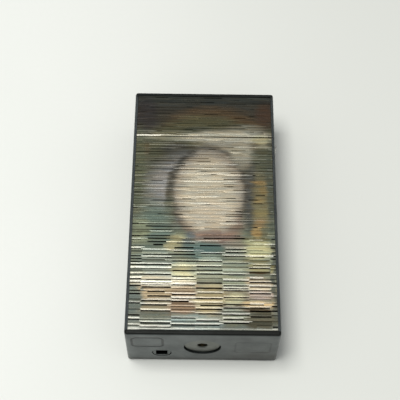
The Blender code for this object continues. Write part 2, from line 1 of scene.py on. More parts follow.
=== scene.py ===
"""Looks of the pocket gas lighter: bark-cut silver panels in a gunmetal case, on a pale floor."""

import json
import math
import random

import bmesh
import bpy
from mathutils import Euler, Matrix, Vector


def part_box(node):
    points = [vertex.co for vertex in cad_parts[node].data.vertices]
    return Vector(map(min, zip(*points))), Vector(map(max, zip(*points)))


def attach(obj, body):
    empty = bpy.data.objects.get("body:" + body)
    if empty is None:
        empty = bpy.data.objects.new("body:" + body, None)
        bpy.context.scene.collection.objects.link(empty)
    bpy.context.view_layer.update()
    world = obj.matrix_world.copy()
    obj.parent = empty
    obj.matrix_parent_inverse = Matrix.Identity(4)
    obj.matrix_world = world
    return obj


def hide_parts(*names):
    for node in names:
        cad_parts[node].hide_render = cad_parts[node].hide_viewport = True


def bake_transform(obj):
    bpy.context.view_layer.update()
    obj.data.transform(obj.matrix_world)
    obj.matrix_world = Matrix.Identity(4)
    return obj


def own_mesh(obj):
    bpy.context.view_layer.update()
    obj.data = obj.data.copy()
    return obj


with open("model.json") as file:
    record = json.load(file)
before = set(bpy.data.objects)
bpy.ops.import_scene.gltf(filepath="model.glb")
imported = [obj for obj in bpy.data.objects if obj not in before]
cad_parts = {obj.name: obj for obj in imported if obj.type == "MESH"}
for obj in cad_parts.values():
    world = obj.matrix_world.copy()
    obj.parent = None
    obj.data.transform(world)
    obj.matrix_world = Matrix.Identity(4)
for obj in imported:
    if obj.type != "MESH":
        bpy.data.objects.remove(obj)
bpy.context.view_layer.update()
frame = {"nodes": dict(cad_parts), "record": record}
nodes = frame["nodes"]

# Lengths are in millimetres where nothing else is said, and MM turns them into metres.
MM = 0.001
MIDDLE_Z = 8.1
CASE_INNER = (16.4, 30.8, 7.35)  # half the inside of the case along x, y and z, seen from its middle
BASE_SHADE_Z = 15.75  # where the painted shade along the base's upper edge starts
SOCKET_SHADE_Y = (-31.5, -31.1)  # the flint screw gets painted shade, dark deep in its socket, between these
CUT_TOP = 8.08  # how far the highest cuts reach from the middle of the lighter
CUT_FOOT = 7.32  # and their feet, just off the floor of the panel's recess
CAMERA_PLACE = (-0.00217, -0.10500, 0.20769)  # metres
CAMERA_TURN = (29.06, -0.638, 0.448)  # degrees
CAMERA_LENS = 84.955  # for a sensor 36 wide


# ---------------------------------------------------------------- materials

def linear(red, green, blue):
    """A display colour, 0 to 255, as the linear values that shaders use."""
    values = []
    for channel in (red, green, blue):
        share = channel / 255
        values.append(share / 12.92 if share <= 0.04045 else ((share + 0.055) / 1.055) ** 2.4)
    return (*values, 1.0)


class Graph:
    """Builds one material's node tree from expressions."""

    def __init__(self, name):
        self.material = bpy.data.materials.new(name)
        self.material.use_nodes = True
        self.tree = self.material.node_tree
        self.tree.nodes.clear()
        coordinates = self.tree.nodes.new("ShaderNodeTexCoord")
        self.place = self.scaled(coordinates.outputs["Object"], (1000, 1000, 1000))

    def feed(self, socket, value):
        if isinstance(value, bpy.types.NodeSocket):
            self.tree.links.new(value, socket)
        else:
            socket.default_value = value

    def math(self, operation, first, second=0.0, clamp=False):
        node = self.tree.nodes.new("ShaderNodeMath")
        node.operation = operation
        node.use_clamp = clamp
        self.feed(node.inputs[0], first)
        self.feed(node.inputs[1], second)
        return node.outputs[0]

    def vector(self, operation, first, second=(0, 0, 0)):
        node = self.tree.nodes.new("ShaderNodeVectorMath")
        node.operation = operation
        self.feed(node.inputs[0], first)
        if operation != "LENGTH":
            self.feed(node.inputs[1], second)
        return node.outputs["Value"] if operation in ("LENGTH", "DOT_PRODUCT") else node.outputs[0]

    def scaled(self, vector, scale):
        return self.vector("MULTIPLY", vector, scale)

    def parts(self, vector):
        node = self.tree.nodes.new("ShaderNodeSeparateXYZ")
        self.feed(node.inputs[0], vector)
        return node.outputs

    def mix(self, factor, first, second, blend="MIX"):
        node = self.tree.nodes.new("ShaderNodeMix")
        node.data_type = "RGBA"
        node.blend_type = blend
        self.feed(node.inputs[0], factor)
        self.feed(node.inputs[6], first)
        self.feed(node.inputs[7], second)
        return node.outputs[2]

    def noise(self, vector, scale, detail=3.0, roughness=0.5, colour=False):
        node = self.tree.nodes.new("ShaderNodeTexNoise")
        self.feed(node.inputs["Vector"], vector)
        node.inputs["Scale"].default_value = scale
        node.inputs["Detail"].default_value = detail
        node.inputs["Roughness"].default_value = roughness
        return node.outputs["Color" if colour else "Fac"]

    def remap(self, value, low, high, to_low=0.0, to_high=1.0, smooth=True):
        node = self.tree.nodes.new("ShaderNodeMapRange")
        node.interpolation_type = "SMOOTHSTEP" if smooth else "LINEAR"
        self.feed(node.inputs["Value"], value)
        limits = {"From Min": low, "From Max": high, "To Min": to_low, "To Max": to_high}
        for socket, number in limits.items():
            node.inputs[socket].default_value = number
        return node.outputs[0]

    def ramp(self, factor, stops):
        node = self.tree.nodes.new("ShaderNodeValToRGB")
        self.feed(node.inputs[0], factor)
        elements = node.color_ramp.elements
        while len(elements) < len(stops):
            elements.new(0.5)
        for element, (position, colour) in zip(elements, stops):
            element.position = position
            element.color = colour
        return node.outputs[0]

    def attribute(self, name):
        node = self.tree.nodes.new("ShaderNodeAttribute")
        node.attribute_name = name
        return node.outputs["Fac"]

    def edges(self, radius):
        """1 on sharp edges and 0 on flats, from how far a rounded normal turns from the real one."""
        bevel = self.tree.nodes.new("ShaderNodeBevel")
        bevel.samples = 4
        bevel.inputs["Radius"].default_value = radius * MM
        real = self.tree.nodes.new("ShaderNodeNewGeometry").outputs["Normal"]
        agreement = self.vector("DOT_PRODUCT", bevel.outputs[0], real)
        return self.remap(agreement, 0.995, 0.85)

    def bump(self, height, strength, distance, normal=None):
        node = self.tree.nodes.new("ShaderNodeBump")
        node.inputs["Strength"].default_value = strength
        node.inputs["Distance"].default_value = distance * MM
        self.feed(node.inputs["Height"], height)
        if normal is not None:
            self.feed(node.inputs["Normal"], normal)
        return node.outputs[0]

    def finish(self, colour, roughness, metallic=1.0, normal=None, **constants):
        shader = self.tree.nodes.new("ShaderNodeBsdfPrincipled")
        self.feed(shader.inputs["Base Color"], colour)
        self.feed(shader.inputs["Roughness"], roughness)
        shader.inputs["Metallic"].default_value = metallic
        for name, value in constants.items():
            shader.inputs[name.replace("_", " ")].default_value = value
        if normal is not None:
            self.feed(shader.inputs["Normal"], normal)
        output = self.tree.nodes.new("ShaderNodeOutputMaterial")
        self.tree.links.new(shader.outputs[0], output.inputs[0])
        return self.material


def gunmetal(name, tone=(84, 89, 90), worn=(150, 152, 148), grain=(0.35, 9, 9), rubbed=0.75):
    """Dark plated brass: fine grain along one way, cloudy wear, and brighter rubbed edges."""
    g = Graph(name)
    clouds = g.noise(g.place, 0.16, 4, 0.6)
    grit = g.noise(g.scaled(g.place, grain), 1.6, 2, 0.6)
    specks = g.noise(g.place, 3.2, 3, 0.7)
    base = g.mix(g.remap(clouds, 0.35, 0.7), linear(*tone), linear(*[c * 0.84 for c in tone]))
    base = g.mix(g.math("MULTIPLY", grit, 0.45), base, linear(*[min(255, c * 1.22) for c in tone]))
    edge = g.math("MULTIPLY", g.edges(0.28), g.remap(specks, 0.42, 0.62))
    base = g.mix(g.math("MULTIPLY", edge, rubbed), base, linear(*worn))
    rough = g.math("ADD", g.remap(clouds, 0.3, 0.7, 0.25, 0.36), g.math("MULTIPLY", grit, 0.09))
    scratches = g.noise(g.scaled(g.place, (0.8, 14, 14)), 2.4, 2, 0.5)
    normal = g.bump(g.math("ADD", grit, g.math("MULTIPLY", scratches, 0.6)), 0.16, 0.035)
    return g, base, rough, normal


def case_metal():
    """The case: bare metal inside, and painted shade round the far end of the cap, on the face side."""
    g, base, rough, normal = gunmetal("gunmetal_case")
    off = g.parts(g.vector("ABSOLUTE", g.vector("SUBTRACT", g.place, (0, 0, MIDDLE_Z))))
    within = [g.remap(off[axis], limit, limit - 0.15) for axis, limit in enumerate(CASE_INNER)]
    inside = g.math("MULTIPLY", g.math("MULTIPLY", within[0], within[2]), within[1])
    bare = g.noise(g.scaled(g.place, (9, 0.4, 9)), 1.2, 3, 0.6)
    base = g.mix(inside, base, g.mix(bare, linear(206, 198, 176), linear(168, 160, 142)))
    place = g.parts(g.place)
    # painted shade: the far rim of the cap is darkened where it reflects a dim part of the room
    far = g.math("MULTIPLY", g.remap(place[1], 29.5, 31.2), g.remap(place[2], 14.5, 15.8))
    base = g.mix(g.math("MULTIPLY", far, 0.85), base, linear(48, 49, 46))
    return g.finish(base, rough, normal=normal)


def outline(g, x, z, half_x, half_z, corner, width):
    """1 on the outline of a rounded rectangle in the base face."""
    across = g.parts(g.vector("ABSOLUTE", g.vector("SUBTRACT", g.place, (x, 0, z))))
    over_x = g.math("MAXIMUM", g.math("SUBTRACT", across[0], half_x - corner), 0.0)
    over_z = g.math("MAXIMUM", g.math("SUBTRACT", across[2], half_z - corner), 0.0)
    reach = g.math("SQRT", g.math("ADD", g.math("POWER", over_x, 2.0), g.math("POWER", over_z, 2.0)))
    away = g.math("ABSOLUTE", g.math("SUBTRACT", reach, corner))
    return g.remap(away, width, width * 0.35)


def base_metal():
    """The base: the case's metal with two plain stamped frames, browner handling marks to the right, and
    painted shade: darker to the right, towards the floor and along its upper edge.
    """
    g, base, rough, normal = gunmetal("gunmetal_base", (86, 91, 91), grain=(9, 9, 0.5), rubbed=0.1)
    left = outline(g, -12.15, 11.5, 3.4, 2.6, 1.1, 0.42)
    right = outline(g, 11.2, 8.9, 3.9, 3.0, 0.5, 0.3)
    place = g.parts(g.place)
    stain = g.noise(g.place, 0.3, 4, 0.6)
    brown = g.math("MULTIPLY", g.remap(place[0], 2, 15), g.remap(place[2], 9, 2))
    brown = g.math("MULTIPLY", brown, g.remap(stain, 0.3, 0.6))
    base = g.mix(g.math("MULTIPLY", brown, 0.6), base, linear(86, 80, 70))
    # painted shade: darker towards the right, away from the light
    base = g.mix(g.remap(place[0], -9, 10, 0, 0.35), base, linear(62, 65, 64))
    # painted shade: darker towards the floor, where the lower edge is shaded
    low = g.math("MULTIPLY", g.remap(place[2], 2.6, 0.4), 0.75)
    base = g.mix(low, base, linear(62, 62, 58))
    # painted shade: a dark band along the upper edge, where the gap under the top is shaded
    lip_shade = g.remap(place[2], BASE_SHADE_Z, BASE_SHADE_Z + 0.25)
    base = g.mix(g.math("MULTIPLY", lip_shade, 0.8), base, linear(34, 32, 28))
    stamped = g.math("MAXIMUM", left, g.math("MULTIPLY", right, 0.4))
    base = g.mix(g.math("MULTIPLY", stamped, 0.85), base, linear(28, 30, 30))
    normal = g.bump(stamped, 0.7, -0.08, normal)
    return g.finish(base, rough, normal=normal)


def screw_metal():
    """The flint screw: the base's metal, with painted shade where it sits deep in its socket."""
    g, base, rough, normal = gunmetal("gunmetal_screw", (80, 85, 85), grain=(9, 9, 0.5), rubbed=0.0)
    # painted shade: the part inside the socket is darkened
    inside = g.remap(g.parts(g.place)[1], *SOCKET_SHADE_Y)
    base = g.mix(inside, base, linear(20, 21, 22))
    return g.finish(base, rough, normal=normal)


def adjuster_metal():
    """The flame adjuster: a little lighter and warmer than the base round it."""
    g, base, rough, normal = gunmetal("gunmetal_adjuster", (98, 100, 95), grain=(9, 9, 0.5), rubbed=0.2)
    return g.finish(base, rough, normal=normal)


def plain_metal(name, tone, dark, rough, grain=(9, 0.5, 9), stain=0.5):
    """A machined metal: turned grain, slight staining, polished edges."""
    g = Graph(name)
    clouds = g.noise(g.place, 0.4, 4, 0.6)
    grit = g.noise(g.scaled(g.place, grain), 1.8, 2, 0.55)
    base = g.mix(g.math("MULTIPLY", g.remap(clouds, 0.4, 0.72), stain), linear(*tone), linear(*dark))
    base = g.mix(g.math("MULTIPLY", grit, 0.35), base, linear(*[c * 0.72 for c in tone]))
    base = g.mix(g.math("MULTIPLY", g.edges(0.15), 0.4), base, linear(*[min(255, c * 1.15) for c in tone]))
    roughness = g.math("ADD", g.remap(clouds, 0.3, 0.7, rough, rough + 0.14), g.math("MULTIPLY", grit, 0.1))
    return g.finish(base, roughness, normal=g.bump(grit, 0.2, 0.03))


def hot_steel():
    """The chimney: bright plate with straw and blue heat tint round its open end."""
    g = Graph("heat_tinted_chrome")
    height = g.parts(g.place)[1]
    clouds = g.noise(g.place, 0.5, 4, 0.6)
    level = g.math("ADD", height, g.math("MULTIPLY", g.math("SUBTRACT", clouds, 0.5), 3.0))
    tint = g.ramp(
        g.remap(level, 24.2, 28.6, smooth=False),
        (
            (0.0, linear(205, 205, 203)),
            (0.35, linear(206, 190, 150)),
            (0.6, linear(160, 120, 92)),
            (0.8, linear(96, 92, 124)),
            (1.0, linear(66, 66, 70)),
        ),
    )
    soot = g.noise(g.place, 1.8, 3, 0.6)
    base = g.mix(g.math("MULTIPLY", soot, 0.3), tint, linear(70, 66, 62))
    return g.finish(base, g.remap(soot, 0.3, 0.7, 0.16, 0.34), normal=g.bump(soot, 0.12, 0.03))


def rubber():
    """The two seals."""
    g = Graph("black_rubber")
    fine = g.noise(g.place, 6, 3, 0.6)
    base = g.mix(fine, linear(26, 26, 27), linear(44, 43, 42))
    return g.finish(base, g.remap(fine, 0.3, 0.7, 0.55, 0.75), 0.0, g.bump(fine, 0.25, 0.03))


def flint_material():
    """Flint: a coarse, dull grey alloy."""
    g = Graph("flint_alloy")
    coarse = g.noise(g.place, 2.4, 5, 0.7)
    base = g.mix(coarse, linear(52, 50, 50), linear(112, 108, 104))
    return g.finish(base, g.remap(coarse, 0.3, 0.7, 0.5, 0.75), 0.85, g.bump(coarse, 0.6, 0.06))


# Colours of the face. First its colour along the face, from the cap's end to the base: (y, colour).
LEVELS = (
    (31.7, (66, 68, 63)),
    (29.0, (66, 67, 62)),
    (26.4, (74, 70, 62)),
    (23.0, (76, 72, 62)),
    (20.8, (82, 81, 66)),
    # the next level is partly a painted highlight along the parting edge between cap and body
    (18.6, (128, 124, 106)),
    (16.8, (94, 92, 76)),
    (8.0, (104, 104, 88)),
    (-2.0, (110, 113, 97)),
    (-8.0, (122, 129, 110)),
    (-13.0, (136, 142, 124)),
    (-18.0, (152, 152, 130)),
    (-22.0, (150, 142, 118)),
    (-26.0, (132, 129, 113)),
    (-29.0, (128, 132, 122)),
)
# Then soft-edged ellipses over that, each over the ones before it: middle, reach, softness, strength, colour.
ZONES = (
    ((2.0, 18.0), (13.1, 9.6), 0.14, 0.85, (96, 80, 61)),
    ((0.0, 17.6), (12.4, 7.3), 0.16, 0.9, (94, 92, 70)),
    ((-1.8, 21.3), (3.6, 0.5), 0.5, 0.7, (64, 68, 58)),
    ((-14.2, 25.0), (2.6, 5.0), 0.4, 0.7, (66, 61, 60)),
    ((14.8, 25.2), (2.2, 3.4), 0.5, 0.8, (84, 66, 54)),
    # the light bands from here to (14.2, 16.0) lie along the cap's parting edge: partly the face's colour,
    # partly painted highlight
    ((9.6, 21.3), (4.6, 1.2), 0.5, 0.85, (132, 127, 110)),
    ((6.4, 19.9), (8.2, 1.1), 0.4, 0.85, (162, 156, 138)),
    ((-3.0, 18.8), (16, 1.1), 0.3, 0.85, (158, 155, 132)),
    ((5.4, 18.7), (10.8, 1.7), 0.35, 0.9, (194, 187, 166)),
    ((13.6, 18.2), (2.2, 1.3), 0.4, 0.9, (186, 178, 142)),
    ((14.2, 16.0), (1.8, 0.8), 0.4, 0.85, (168, 162, 138)),
    ((-12.0, 15.6), (6.5, 2.4), 0.3, 0.85, (90, 90, 71)),
    ((-14.9, 15.2), (1.7, 2.2), 0.5, 0.7, (100, 87, 66)),
    ((-6.6, 15.2), (3.6, 2.2), 0.5, 0.85, (74, 73, 67)),
    ((5.6, 15.4), (6.8, 2.6), 0.3, 0.9, (165, 157, 139)),
    ((8.6, 13.6), (3.4, 3.0), 0.35, 0.9, (172, 166, 146)),
    ((-15.6, 9.0), (1.7, 11), 0.4, 0.8, (98, 101, 80)),
    ((13.8, 12.6), (3.0, 3.4), 0.3, 0.8, (92, 94, 76)),
    ((-3.4, 4.4), (9.2, 9.4), 0.3, 0.95, (148, 145, 141)),
    ((11.0, 2.0), (1.7, 9.0), 0.5, 0.9, (88, 87, 82)),
    ((-7.6, 0.2), (1.5, 7.6), 0.3, 0.9, (104, 101, 86)),
    ((0.9, 3.9), (9.5, 12.4), 0.07, 0.95, (84, 80, 72)),
    ((8.4, 12.0), (2.8, 2.2), 0.4, 0.8, (146, 141, 125)),
    ((2.4, -4.8), (6.6, 5.2), 0.3, 0.95, (146, 127, 112)),
    ((-7.7, -1.6), (1.0, 5.0), 0.4, 0.8, (104, 103, 86)),
    ((1.2, 4.0), (7.9, 11.2), 0.1, 0.98, (152, 141, 127)),
    ((1.1, 3.0), (6.9, 10.0), 0.35, 0.95, (205, 195, 172)),
    ((1.7, -2.8), (4.9, 4.0), 0.35, 0.85, (212, 199, 176)),
    ((2.8, -8.4), (5.6, 1.8), 0.4, 0.9, (150, 126, 112)),
    ((13.2, -0.5), (1.9, 8.6), 0.5, 0.9, (132, 122, 90)),
    ((13.2, 6.4), (1.6, 0.5), 0.7, 0.6, (170, 140, 92)),
    ((13.9, 4.2), (0.9, 1.3), 0.7, 0.6, (152, 126, 80)),
    ((12.8, 1.6), (1.1, 0.6), 0.7, 0.6, (158, 136, 92)),
    ((13.4, -1.6), (1.5, 0.8), 0.7, 0.6, (168, 152, 104)),
    ((12.9, -4.4), (1.1, 1.0), 0.7, 0.7, (166, 136, 96)),
    ((12.4, -6.9), (1.1, 1.6), 0.5, 0.8, (180, 150, 100)),
    ((15.7, 6.0), (0.9, 12), 0.5, 0.7, (88, 91, 78)),
    ((12.0, -11.3), (3.2, 2.6), 0.5, 0.95, (216, 210, 160)),
    ((11.4, -8.7), (4.4, 0.3), 0.5, 0.85, (92, 86, 58)),
    ((11.8, -14.2), (3.6, 0.3), 0.4, 0.8, (112, 104, 70)),
    ((12.2, -16.0), (3.4, 1.2), 0.3, 0.9, (176, 166, 120)),
    ((-10.8, -6.4), (3.6, 7.0), 0.5, 0.95, (112, 125, 112)),
    ((-14.0, -6.6), (1.8, 2.8), 0.5, 0.75, (144, 150, 122)),
    ((-6.1, -10.4), (2.3, 2.4), 0.5, 0.9, (182, 173, 132)),
    ((-3.2, -8.6), (1.1, 1.8), 0.5, 0.7, (100, 108, 110)),
    ((-4.4, -13.0), (3.2, 1.8), 0.5, 0.85, (150, 152, 128)),
    ((0.6, -11.6), (5.8, 2.4), 0.5, 0.95, (102, 124, 118)),
    ((7.0, -10.2), (2.8, 1.2), 0.4, 0.8, (160, 154, 138)),
    ((6.8, -12.2), (3.0, 1.4), 0.4, 0.7, (132, 134, 118)),
    ((-10.4, -14.6), (4.2, 3.2), 0.5, 0.9, (142, 150, 136)),
    ((-4.4, -17.2), (3.3, 2.2), 0.5, 0.9, (204, 198, 158)),
    ((1.4, -16.4), (3.6, 3.2), 0.4, 0.85, (172, 176, 154)),
    ((7.4, -15.6), (3.0, 2.4), 0.4, 0.85, (156, 162, 140)),
    ((4.0, -16.4), (6.4, 1.6), 0.4, 0.7, (176, 182, 160)),
    ((7.3, -19.2), (3.2, 2.0), 0.3, 0.9, (148, 152, 128)),
    ((6.8, -23.5), (2.2, 1.2), 0.3, 0.95, (190, 186, 152)),
    ((-10.4, -17.8), (3.4, 1.3), 0.4, 0.8, (158, 162, 150)),
    ((-10.6, -21.8), (3.9, 2.4), 0.3, 0.95, (178, 160, 130)),
    ((-10.2, -25.0), (3.0, 1.4), 0.4, 0.85, (146, 134, 108)),
    ((-4.4, -21.6), (3.0, 1.8), 0.3, 0.9, (166, 146, 120)),
    ((-4.4, -25.2), (3.2, 1.8), 0.3, 0.9, (156, 130, 104)),
    ((1.4, -23.4), (3.2, 3.6), 0.3, 0.95, (180, 166, 130)),
    ((12.6, -19.6), (2.9, 1.8), 0.3, 0.95, (188, 170, 140)),
    ((11.8, -17.1), (2.8, 0.35), 0.4, 0.9, (96, 74, 50)),
    ((12.6, -22.2), (2.8, 1.1), 0.4, 0.85, (192, 170, 156)),
    ((12.0, -24.6), (3.4, 0.9), 0.3, 0.95, (210, 184, 140)),
    ((12.0, -26.0), (4.0, 0.45), 0.4, 0.95, (78, 62, 42)),
    ((7.0, -25.0), (2.8, 0.3), 0.4, 0.85, (92, 80, 58)),
    ((-15.2, -23.6), (2.1, 3.6), 0.3, 0.9, (106, 114, 106)),
    ((-9.4, -19.4), (6.6, 1.2), 0.4, 0.95, (222, 212, 186)),
    ((-10.4, -28.2), (3.4, 2.0), 0.3, 0.9, (122, 126, 112)),
    ((-2.0, -29.0), (7.0, 1.9), 0.3, 0.9, (132, 142, 134)),
    ((7.2, -27.8), (2.8, 2.2), 0.3, 0.9, (124, 128, 110)),
    ((13.0, -28.2), (4.0, 2.2), 0.25, 0.95, (94, 90, 73)),
    ((15.9, -19.0), (0.8, 10), 0.4, 0.8, (88, 91, 82)),
)
REFLECTED = 0.84  # the colours above are as seen, so they are divided by how much light the silver returns


def silver(name, zones=True):
    """Bark-cut silver: colour patches, a tone for each cut, fine lines along them, and painted shade in the
    grooves. The back has no zones.
    """
    g = Graph(name)
    streaks = g.noise(g.scaled(g.place, (0.16, 1.0, 1.0)), 1.3, 3, 0.6, colour=True)
    drift = g.scaled(g.vector("SUBTRACT", streaks, (0.5, 0.5, 0.5)), (2.0, 1.6, 0))
    shift = g.tree.nodes.new("ShaderNodeCombineXYZ")
    g.feed(shift.inputs[0], g.attribute("slide_x"))
    g.feed(shift.inputs[1], g.attribute("slide_y"))
    at = g.vector("ADD", g.vector("ADD", g.place, drift), shift.outputs[0])
    height = g.parts(at)[1]
    top, bottom = LEVELS[0][0], LEVELS[-1][0]
    stops = [((y - bottom) / (top - bottom), linear(*colour)) for y, colour in reversed(LEVELS)]
    base = g.ramp(g.remap(height, bottom, top, smooth=False), stops)
    for (x, y), (reach_x, reach_y), softness, strength, colour in ZONES if zones else ():
        offset = g.vector("SUBTRACT", at, (x, y, 0))
        offset = g.scaled(offset, (1 / reach_x, 1 / reach_y, 0))
        mask = g.remap(g.vector("LENGTH", offset), 1 + softness, 1 - softness, 0, strength)
        base = g.mix(mask, base, linear(*colour))
    if not zones:
        patches = g.noise(g.scaled(g.place, (0.5, 1, 1)), 0.14, 4, 0.6)
        base = g.mix(g.remap(patches, 0.42, 0.6, 0, 0.85), linear(176, 168, 148), base)
    lift = 1 / REFLECTED
    base = g.mix(1.0, base, (lift, lift, lift, 1), "MULTIPLY")
    hue = g.noise(g.scaled(g.place, (0.3, 2.2, 1)), 0.9, 2, 0.5, colour=True)
    warm = g.remap(g.parts(hue)[0], 0.3, 0.7)
    base = g.mix(1.0, base, g.mix(warm, (0.95, 1.0, 1.05, 1), (1.06, 1.0, 0.92, 1)), "MULTIPLY")
    tone = g.attribute("tone")
    scale = g.tree.nodes.new("ShaderNodeCombineColor")
    for socket in scale.inputs[:3]:
        g.feed(socket, tone)
    base = g.mix(1.0, base, scale.outputs[0], "MULTIPLY")
    base = g.mix(g.attribute("polish"), base, g.mix(0.6, base, linear(250, 246, 232)))
    # painted shade: the groove attribute darkens risers, valleys and end walls
    base = g.mix(g.math("MULTIPLY", g.attribute("groove"), 0.86), base, linear(40, 36, 28))
    lines = g.noise(g.scaled(g.place, (0.5, 9, 9)), 1.5, 3, 0.65)
    base = g.mix(g.remap(lines, 0.55, 0.8, 0, 0.3), base, linear(70, 66, 56))
    rough = g.remap(lines, 0.3, 0.7, 0.22, 0.38)
    normal = g.bump(lines, 0.22, 0.05)
    return g.finish(base, rough, normal=normal)


def floor_material():
    """A pale, matt floor, with painted shade making it a little darker to the right."""
    g = Graph("pale_floor")
    fine = g.noise(g.place, 0.9, 4, 0.6)
    wide = g.noise(g.place, 0.01, 3, 0.5)
    base = g.mix(fine, linear(219, 220, 216), linear(223, 224, 220))
    base = g.mix(g.remap(wide, 0.35, 0.65, 0, 0.5), base, linear(216, 218, 213))
    # painted shade: darker to the right, where the light falls off
    across = g.parts(g.place)[0]
    base = g.mix(g.remap(across, -70, 50, 0.0, 0.9), base, linear(206, 207, 202))
    return g.finish(base, 0.7, 0.0, g.bump(fine, 0.03, 0.05))


CASE = case_metal()
BASE = base_metal()
ADJUSTER = adjuster_metal()
SCREW = screw_metal()
BRASS = plain_metal("brass_parts", (196, 168, 104), (130, 98, 56), 0.24)
STEEL = plain_metal("steel_parts", (178, 177, 172), (120, 112, 100), 0.24)
DARK_STEEL = plain_metal("hardened_steel", (98, 97, 96), (62, 56, 50), 0.3)
WHEEL = plain_metal("spark_wheel_steel", (112, 110, 108), (66, 60, 54), 0.32, (2, 2, 9))
CHIMNEY = hot_steel()
RUBBER = rubber()
FLINT = flint_material()

BY_NODE = {
    "body_case": CASE,
    "cap_shell": CASE,
    "base_plate": BASE,
    "flame_adjuster": ADJUSTER,
    "flint_screw": SCREW,
    "wind_chimney": CHIMNEY,
    "spark_wheel": WHEEL,
    "thumb_roller_front": WHEEL,
    "thumb_roller_rear": WHEEL,
    "flint": FLINT,
    "burner_oring": RUBBER,
    "filler_oring": RUBBER,
}
BY_SLOT = {
    "gunmetal": CASE,
    "tarnished_silver": CASE,
    "brass": BRASS,
    "steel": STEEL,
    "hardened_steel": DARK_STEEL,
    "bright_steel": CHIMNEY,
    "rubber": RUBBER,
    "flint": FLINT,
}
slot_of = {entry["node"]: entry["material_slot"] for entry in frame["record"]["subparts"]}


def dress_cad():
    """Each CAD node gets its own material, or that of its slot."""
    for name, obj in nodes.items():
        material = BY_NODE.get(name) or BY_SLOT.get(slot_of.get(name), STEEL)
        obj.data.materials.clear()
        obj.data.materials.append(material)


# ------------------------------------------------------------- bark-cut face

def coil_like(node):
    """A copy of a coil in place of the rigid solid, which is hidden."""
    coil = bpy.data.objects.new(node + "_coil", nodes[node].data.copy())
    bpy.context.scene.collection.objects.link(coil)
    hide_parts(node)
    return coil


# Coils that a pin shortens: (node, joint, how far it travels, y of the end that stays).
PRESSED_COILS = (
    ("filler_spring", "filler_stem_push", 1.0, -21.8),
    ("flint_spring", "flint_press", 0.8, -25.9),
)


def make_springs():
    """Copies of the three coils in place of the rigid solids; two go with the body, and the jet's coil is
    baked where it stands.
    """
    for node, joint, travel, held_y in PRESSED_COILS:
        coil = coil_like(node)
        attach(coil, "body")
        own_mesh(coil)
    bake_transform(coil_like("jet_spring"))


def fineness(y):
    """0 towards the base, where the cuts are coarse and deep, and 1 towards the cap."""
    share = min(1.0, max(0.0, (y + 15) / 13))
    return share * share * (3 - 2 * share)


STRIP_EDGES = (-16.25, -13.7, -7.0, -1.6, 4.35, 10.2, 15.0, 16.25)  # x of the edges of the strips of cuts
SHOULDER = 0.05  # how far the ends of a fine cut are rounded off
STAGGER = 0.015  # keeps the end walls of neighbouring strips, which overlap, out of one plane
SHINY_END = 0.28  # a burnished cut starts this far before its accent
# Where each strip has a burnished edge: (y, strength).
ACCENTS = (
    (
        (-27.9, 0.6), (-24.1, 0.3), (-19.2, 1), (-18.3, 0.8), (-17.2, 0.5), (-15.8, 0.9), (-14.8, 0.7),
        (-10.9, 0.6),
    ),
    (
        (-29.7, 0.8), (-28.7, 0.6), (-25.9, 0.5), (-24.5, 0.5), (-23.5, 0.7), (-21.3, 0.2), (-19.8, 1),
        (-19.3, 0.8), (-17.2, 0.3), (-15.8, 0.7), (-14.8, 0.2), (-12.3, 0.15), (-11.3, 0.4),
    ),
    (
        (-29.1, 0.8), (-24.9, 0.2), (-23.0, 0.9), (-22.0, 0.4), (-20.6, 0.2), (-19.7, 1), (-15.2, 0.3),
        (-13.9, 0.15), (6.5, 0.4), (8.6, 0.3), (10.0, 0.3), (11.1, 0.3),
    ),
    (
        (-29.1, 0.5), (-28.1, 0.6), (-26.5, 0.3), (-25.4, 0.4), (-24.0, 0.5), (-17.0, 0.3), (-15.2, 0.4),
        (-13.9, 0.3), (0.6, 0.3), (2.4, 0.4), (6.5, 0.35), (8.7, 0.35), (10.0, 0.3),
    ),
    (
        (-28.6, 0.8), (-27.7, 0.6), (-26.7, 1), (-25.9, 0.2), (-22.6, 0.3), (-20.5, 0.9), (-18.6, 0.8),
        (-17.1, 0.5), (-14.3, 0.3), (-12.6, 0.5), (-10.8, 0.3), (8.3, 0.4), (11.2, 0.4), (14.5, 0.4),
    ),
    (
        (-25.0, 0.7), (-24.3, 0.9), (-22.4, 0.3), (-20.9, 0.5), (-20.0, 0.9), (-18.1, 0.9), (-15.5, 0.6),
        (-12.7, 1), (-9.7, 0.3), (16.1, 0.3),
    ),
    ((-9.8, 0.6),),
)


